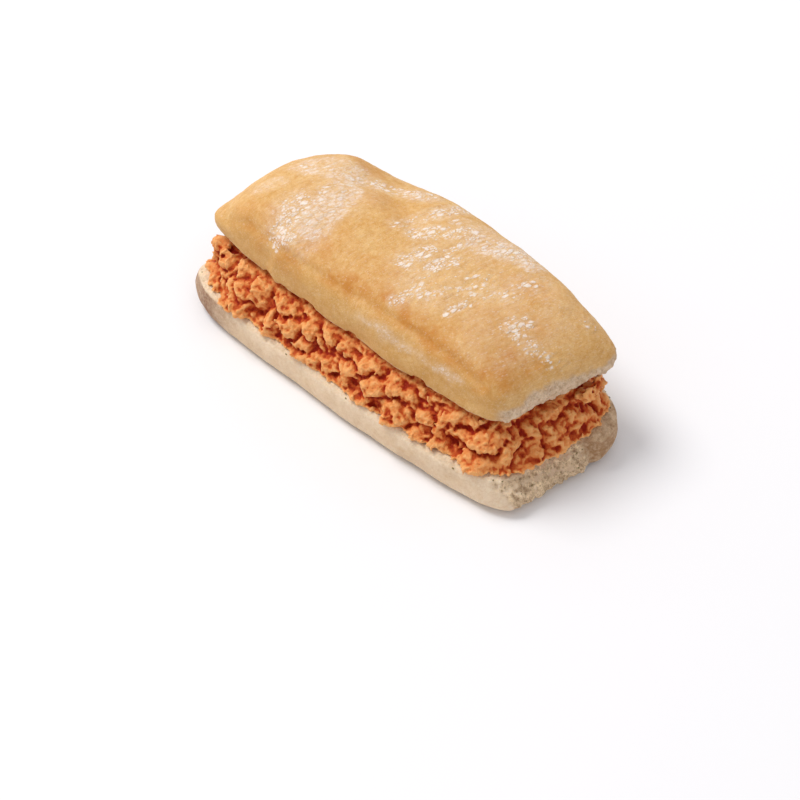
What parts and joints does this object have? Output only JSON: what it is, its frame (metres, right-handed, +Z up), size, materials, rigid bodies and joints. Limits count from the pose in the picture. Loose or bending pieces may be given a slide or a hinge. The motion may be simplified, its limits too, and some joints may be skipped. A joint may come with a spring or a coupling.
{
  "type": "chicken sandwich",
  "caption": "Filled ciabatta roll: a flat heel, a thick layer of shredded chicken in orange sauce, and a floured golden lid set back and to the left.",
  "frame": {"origin": "on the surface that the sandwich lies on, under the middle of its box", "axes": "+X along the roll to its narrower end, +Y across it to the side where the lid covers the filling, +Z up"},
  "size_m": [0.181, 0.0889, 0.0593],
  "materials": {
    "pale_floured_bread": "matte",
    "sauced_chicken": "satin",
    "golden_crust": "matte"
  },
  "bodies": {
    "root": {"bottom_bread": "pale_floured_bread", "chicken_filling": "sauced_chicken", "top_bread": "golden_crust"}
  },
  "joints": []
}
